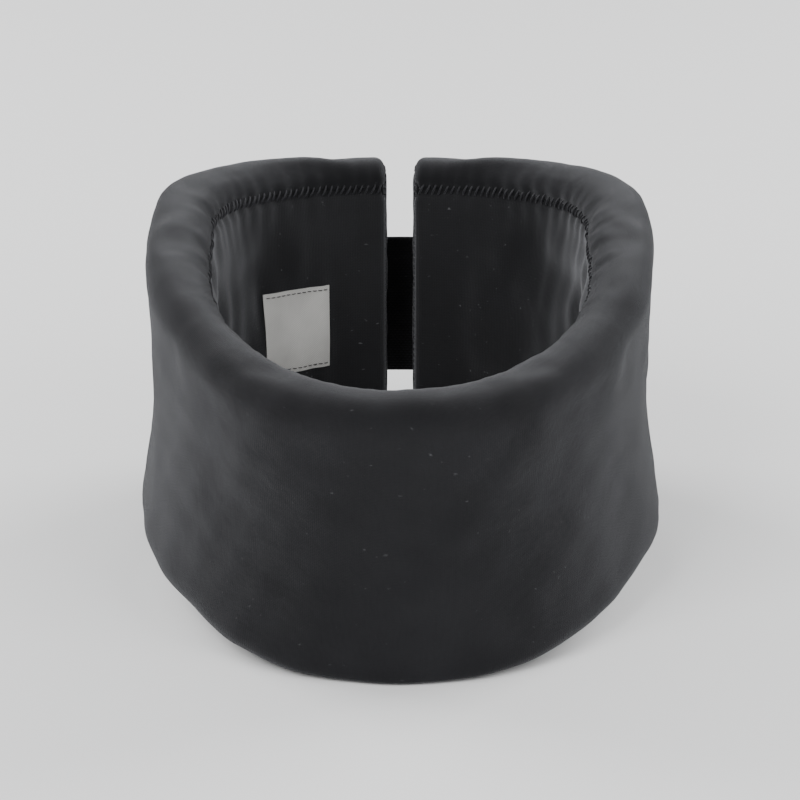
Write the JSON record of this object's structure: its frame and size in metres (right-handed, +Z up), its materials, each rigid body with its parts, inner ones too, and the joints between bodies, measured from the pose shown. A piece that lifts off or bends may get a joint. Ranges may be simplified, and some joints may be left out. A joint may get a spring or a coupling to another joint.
{
  "type": "cervical collar",
  "caption": "Soft foam neck collar in a knitted cover, contoured under the chin, opening at the nape with a hook-and-loop strap.",
  "frame": {"origin": "on the surface it stands on, under the middle of the collar", "axes": "-Y towards the chin, +Y towards the nape, +Z up, +X towards the wearer's left"},
  "size_m": [0.16, 0.1764, 0.1165],
  "materials": {
    "foam": "open-cell polyurethane foam",
    "cover_knit": "fine matte jersey knit",
    "lining_knit": "soft brushed jersey knit",
    "thread": "twisted polyester thread",
    "loop_pile": "brushed loop pile",
    "webbing": "woven nylon webbing",
    "hook_tape": "moulded hook tape",
    "label_satin": "blank woven satin label"
  },
  "bodies": {
    "front": {"foam_front": "foam", "outer_cover_front": "cover_knit", "inner_lining_front": "lining_knit", "top_seam_front": "thread", "bottom_seam_front": "thread"},
    "left_wing": {"foam_left": "foam", "outer_cover_left": "cover_knit", "inner_lining_left": "lining_knit", "top_seam_left": "thread", "bottom_seam_left": "thread", "end_facing_left": "cover_knit", "strap_patch": "lining_knit", "strap_base": "webbing", "strap_stitching": "thread", "care_label": "label_satin", "care_label_stitching": "thread"},
    "right_wing": {"foam_right": "foam", "outer_cover_right": "cover_knit", "inner_lining_right": "lining_knit", "top_seam_right": "thread", "bottom_seam_right": "thread", "end_facing_right": "cover_knit", "loop_pad": "loop_pile", "loop_pad_stitching": "thread"},
    "tab": {"closure_tab": "webbing", "tab_tip": "webbing", "hook_patch": "hook_tape", "hook_stitching": "thread"}
  },
  "joints": [
    {"name": "left_wing_spread", "type": "hinge", "parent": "front", "child": "left_wing", "pos_m": [-0.0802, 0.00562, 0.055], "axis": [0, 0, 1], "range_deg": [0, 58]},
    {"name": "right_wing_spread", "type": "hinge", "parent": "front", "child": "right_wing", "pos_m": [0.0802, 0.00562, 0.055], "axis": [0, 0, 1], "range_deg": [-58, 0]},
    {"name": "closure_tab_peel", "type": "hinge", "parent": "left_wing", "child": "tab", "pos_m": [-0.0067, 0.08787, 0.051], "axis": [0, 0, 1], "range_deg": [0, 135]}
  ],
  "couplings": [
    {"joint": "right_wing_spread", "follows": "left_wing_spread", "ratio": -1}
  ]
}
